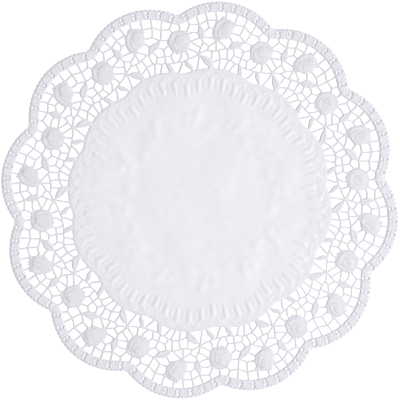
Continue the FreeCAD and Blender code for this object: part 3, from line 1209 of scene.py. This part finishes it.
@dataclass(frozen=True)
class DoilyPaper:
    """The whole sheet: the sector repeated round the middle, then laid with a slight wave."""

    finish: PaperFinish = PaperFinish()
    relief: Relief = Relief()
    diameter: float = 0.36
    cut_area: float = 0.0743
    wave: Swell = Swell(0.3, 85.0, 0.4)
    creases: Swell = Swell(0.52, 27.0, 5.4)
    cockles: Swell = Swell(0.17, 11.0, 10.4)
    wave_fade: Span = (0.05, 0.9)
    plain_fade: Span = (0.45, 0.62)
    lace_calm: float = 0.8
    weld: float = 0.000002
    upright: float = 0.02

    def repeat_tree(self) -> bpy.types.NodeTree:
        """Geometry nodes that repeat a sector round the middle and weld the copies.

        Returns:
            The node group, with the inputs Lobes, Weld Distance and Finish.
        """
        tree = bpy.data.node_groups.new("repeat_lobes", "GeometryNodeTree")
        for name, kind in (("Geometry", "Geometry"), ("Lobes", "Int"),
                           ("Weld Distance", "Float"), ("Finish", "Material")):
            tree.interface.new_socket(name, in_out="INPUT", socket_type="NodeSocket" + kind)
        tree.interface.new_socket("Geometry", in_out="OUTPUT", socket_type="NodeSocketGeometry")
        entry = add_node(tree, "NodeGroupInput", {}).outputs
        spots = add_node(tree, "GeometryNodePoints", {"Count": entry["Lobes"]})
        index = add_node(tree, "GeometryNodeInputIndex", {})
        share = add_node(tree, "ShaderNodeMath", {0: index.outputs["Index"], 1: entry["Lobes"]},
                         operation="DIVIDE")
        angle = add_node(tree, "ShaderNodeMath", {0: share.outputs[0], 1: -2 * math.pi},
                         operation="MULTIPLY")
        turn = add_node(tree, "ShaderNodeCombineXYZ", {"Z": angle.outputs[0]})
        copies = add_node(tree, "GeometryNodeInstanceOnPoints", {
            "Points": spots.outputs[0], "Instance": entry["Geometry"],
            "Rotation": turn.outputs["Vector"]})
        real = add_node(tree, "GeometryNodeRealizeInstances",
                        {"Geometry": copies.outputs["Instances"]})
        merge = add_node(tree, "GeometryNodeMergeByDistance", {
            "Geometry": real.outputs["Geometry"], "Distance": entry["Weld Distance"]})
        dress = add_node(tree, "GeometryNodeSetMaterial", {
            "Geometry": merge.outputs["Geometry"], "Material": entry["Finish"]})
        add_node(tree, "NodeGroupOutput", {"Geometry": dress.outputs["Geometry"]})
        return tree

    def lift(self, spots: np.ndarray) -> np.ndarray:
        """How far the laid sheet lifts off the table.

        Args:
            spots: N by 3 array in metres.

        Returns:
            Lift in metres, never below 0.
        """
        points = spots[:, :2] / MM
        reach = np.hypot(spots[:, 0], spots[:, 1]) * 2 / self.diameter
        plain = 1.0 - self.lace_calm * fade(reach, *self.plain_fade)
        lift = self.wave.lift(points) * fade(reach, *self.wave_fade)
        lift += self.creases.lift(points) * plain
        lift += self.cockles.lift(points) * plain
        return MM * lift

    def build(self) -> bpy.types.Object:
        """Makes the sheet.

        Returns:
            The finished object, one closed shell with its finish.
        """
        piece = bpy.data.objects.new(PIECE_NAME, SectorMesh(self.relief).build())
        bpy.context.scene.collection.objects.link(piece)
        tree = self.repeat_tree()
        repeat = piece.modifiers.new("repeat", "NODES")
        repeat.node_group = tree
        values = {"Lobes": LOBES, "Weld Distance": self.weld, "Finish": self.finish.build()}
        for item in tree.interface.items_tree:
            if item.in_out == "INPUT" and item.name in values:
                repeat[item.identifier] = values[item.name]
        shape = piece.evaluated_get(bpy.context.evaluated_depsgraph_get())
        whole = bpy.data.meshes.new_from_object(shape)
        piece.modifiers.remove(repeat)
        piece.data = whole
        whole.name = PIECE_NAME
        spots = np.empty(len(whole.vertices) * 3)
        whole.vertices.foreach_get("co", spots)
        spots = spots.reshape(-1, 3)
        spots[:, 2] += self.lift(spots)
        whole.vertices.foreach_set("co", spots.ravel())
        self.shade(whole)
        whole.update()
        return piece

    def shade(self, mesh: bpy.types.Mesh) -> None:
        """Shades the faces smooth and keeps the cut edges crisp.

        Args:
            mesh: the whole sheet.
        """
        shell = bmesh.new()
        shell.from_mesh(mesh)
        for face in shell.faces:
            face.smooth = True
        for edge in shell.edges:
            cut = [abs(face.normal.z) < self.upright for face in edge.link_faces]
            edge.smooth = len(cut) == 2 and cut[0] == cut[1]
        open_edges = sum(1 for edge in shell.edges if len(edge.link_faces) != 2)
        LOG.info("sheet: %d faces, %d open edges", len(shell.faces), open_edges)
        shell.to_mesh(mesh)
        shell.free()

    def dress(self, piece: bpy.types.Object) -> None:
        """Hides the CAD sheet and puts the piece under the root body.

        Args:
            piece: the finished sheet.
        """
        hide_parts(SHEET_NODE)
        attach(piece, "root")


@dataclass(frozen=True)
class Table:
    """The plain white table under the sheet."""

    side: float = 24.0
    drop: float = 0.00002
    colour: Colour = (0.90, 0.90, 0.90, 1.0)
    roughness: float = 0.9
    specular: float = 0.1
    glow: float = 0.14

    def build(self) -> bpy.types.Object:
        """Makes the table top.

        Returns:
            The table's object.
        """
        material = bpy.data.materials.new("white table")
        material.use_nodes = True
        shader = material.node_tree.nodes["Principled BSDF"]
        for name, value in (("Base Color", self.colour), ("Roughness", self.roughness),
                            ("Specular IOR Level", self.specular), ("Emission Color", WHITE),
                            ("Emission Strength", self.glow)):
            shader.inputs[name].default_value = value
        half = self.side / 2
        mesh = bpy.data.meshes.new("table")
        corners = [(-half, -half), (half, -half), (half, half), (-half, half)]
        mesh.from_pydata([(x, y, -self.drop) for x, y in corners], [], [(0, 1, 2, 3)])
        mesh.materials.append(material)
        top = bpy.data.objects.new("table", mesh)
        bpy.context.scene.collection.objects.link(top)
        return top


@dataclass(frozen=True)
class Studio:
    """Soft light from one low side, an even sky, and the camera straight above."""

    sun_bearing: float = 90.0
    sun_height: float = 36.0
    sun_strength: float = 2.56
    sun_spread: float = 16.0
    box_bearing: float = 95.0
    box_height: float = 35.0
    box_side: float = 0.4
    box_power: float = 2.4
    light_distance: float = 1.1
    sky: float = 0.558
    camera_height: float = 1.2
    view_width: float = 0.36
    sensor: float = 36.0
    roll: float = 8.27

    def build(self) -> None:
        """Makes the lights, the sky and the camera, and sets how colours are shown."""
        scene = bpy.context.scene
        scene.view_settings.view_transform = "Standard"
        sun = bpy.data.lights.new("sun", "SUN")
        sun.energy = self.sun_strength
        sun.angle = math.radians(self.sun_spread)
        self.hang("sun", sun, self.sun_bearing, self.sun_height)
        box = bpy.data.lights.new("soft box", "AREA")
        box.size = self.box_side
        box.energy = self.box_power
        self.hang("soft box", box, self.box_bearing, self.box_height)
        world = bpy.data.worlds.new("sky")
        world.use_nodes = True
        back = world.node_tree.nodes["Background"]
        back.inputs["Color"].default_value = WHITE
        back.inputs["Strength"].default_value = self.sky
        scene.world = world
        camera = bpy.data.cameras.new("camera")
        camera.sensor_width = self.sensor
        camera.lens = self.sensor * self.camera_height / self.view_width
        eye = bpy.data.objects.new("camera", camera)
        eye.location = (0.0, 0.0, self.camera_height)
        eye.rotation_euler = (0.0, 0.0, math.radians(self.roll))
        scene.collection.objects.link(eye)
        scene.camera = eye

    def hang(self, name: str, light: bpy.types.Light, bearing: float, height: float) -> None:
        """Puts a light up, aimed at the middle of the sheet.

        Args:
            name: what to call its object.
            light: the light.
            bearing: where it hangs, clockwise from +Y in degrees.
            height: its height over the table in degrees.
        """
        across, along = polar(bearing, math.cos(math.radians(height)))
        aim = Vector((across, along, math.sin(math.radians(height))))
        lamp = bpy.data.objects.new(name, light)
        lamp.location = aim * self.light_distance
        lamp.rotation_euler = aim.to_track_quat("Z", "Y").to_euler()
        bpy.context.scene.collection.objects.link(lamp)


def main() -> None:
    """Builds the table, the light and the sheet, and reports the sheet."""
    Table().build()
    Studio().build()
    paper = DoilyPaper()
    piece = paper.build()
    paper.dress(piece)
    LOG.info("%s: %d vertices", piece.name, len(piece.data.vertices))


if __name__ == "__main__":
    logging.basicConfig(level=logging.INFO)
    main()
